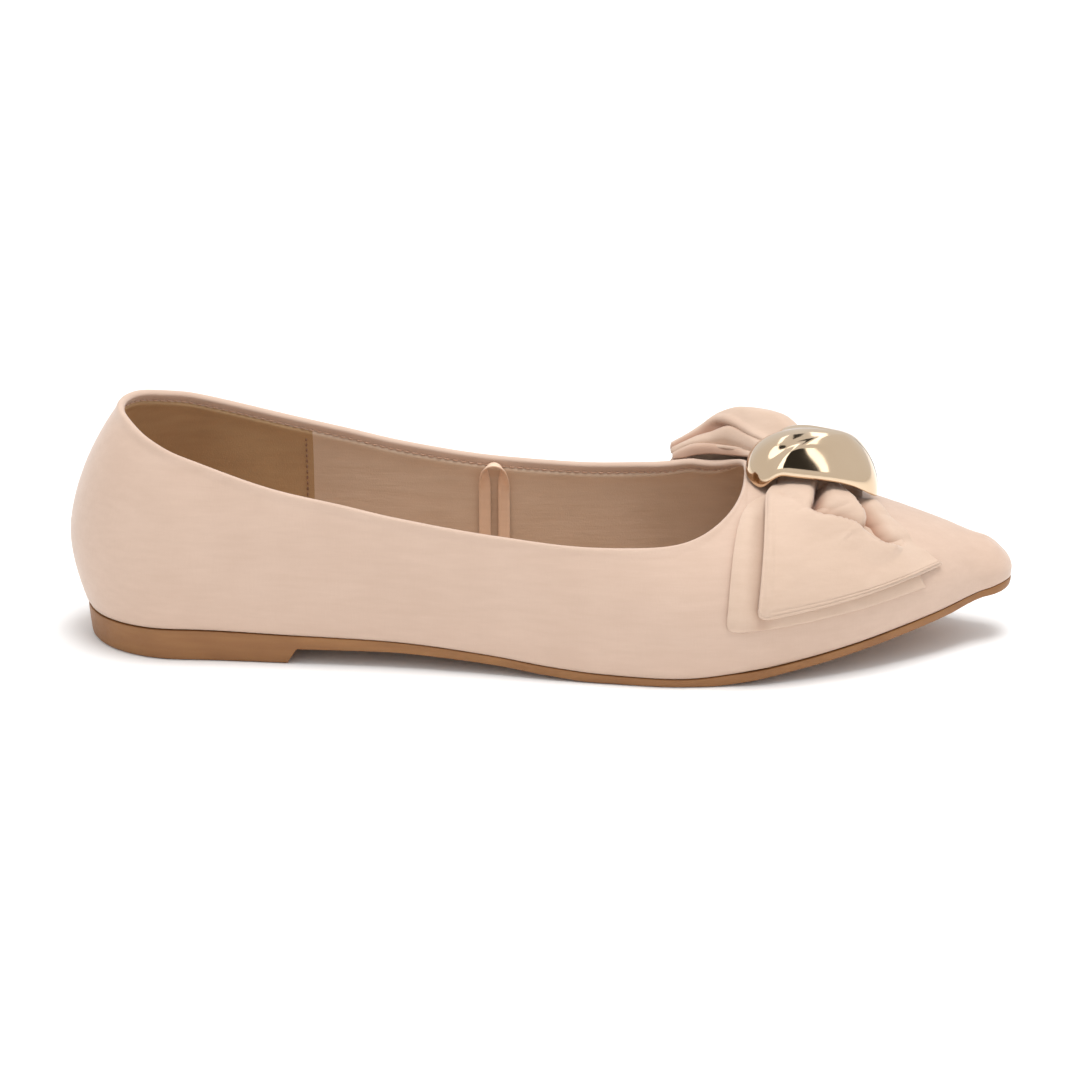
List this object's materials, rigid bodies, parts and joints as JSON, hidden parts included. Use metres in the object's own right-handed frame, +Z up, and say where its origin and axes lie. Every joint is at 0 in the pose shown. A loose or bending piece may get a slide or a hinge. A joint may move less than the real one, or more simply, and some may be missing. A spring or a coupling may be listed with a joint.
{
  "type": "ballet flat",
  "caption": "Pointed satin ballet flat for the right foot, with an open collar, a gathered ribbon bow under a domed gold ornament, and a low heel.",
  "frame": {"origin": "centre of the shoe's bounding box, on the floor plane under its sole", "axes": "+X towards the toe, +Y towards the inner side of the foot, +Z up from the floor"},
  "size_m": [0.262, 0.0856, 0.0668],
  "materials": {
    "satin": "blush satin, soft sheen",
    "tan_sole": "moulded tan rubber, matt",
    "insole_lining": "nude lining leather, matt",
    "ribbon_satin": "blush satin ribbon, soft sheen",
    "polished_gold": "polished pale gold plate",
    "loop_tape": "woven tape"
  },
  "bodies": {
    "root": {"upper": "satin", "outsole": "tan_sole", "insole": "insole_lining", "under_ribbon": "ribbon_satin", "top_ribbon": "ribbon_satin", "gold_dome": "polished_gold", "hanger_loop": "loop_tape"}
  },
  "joints": []
}
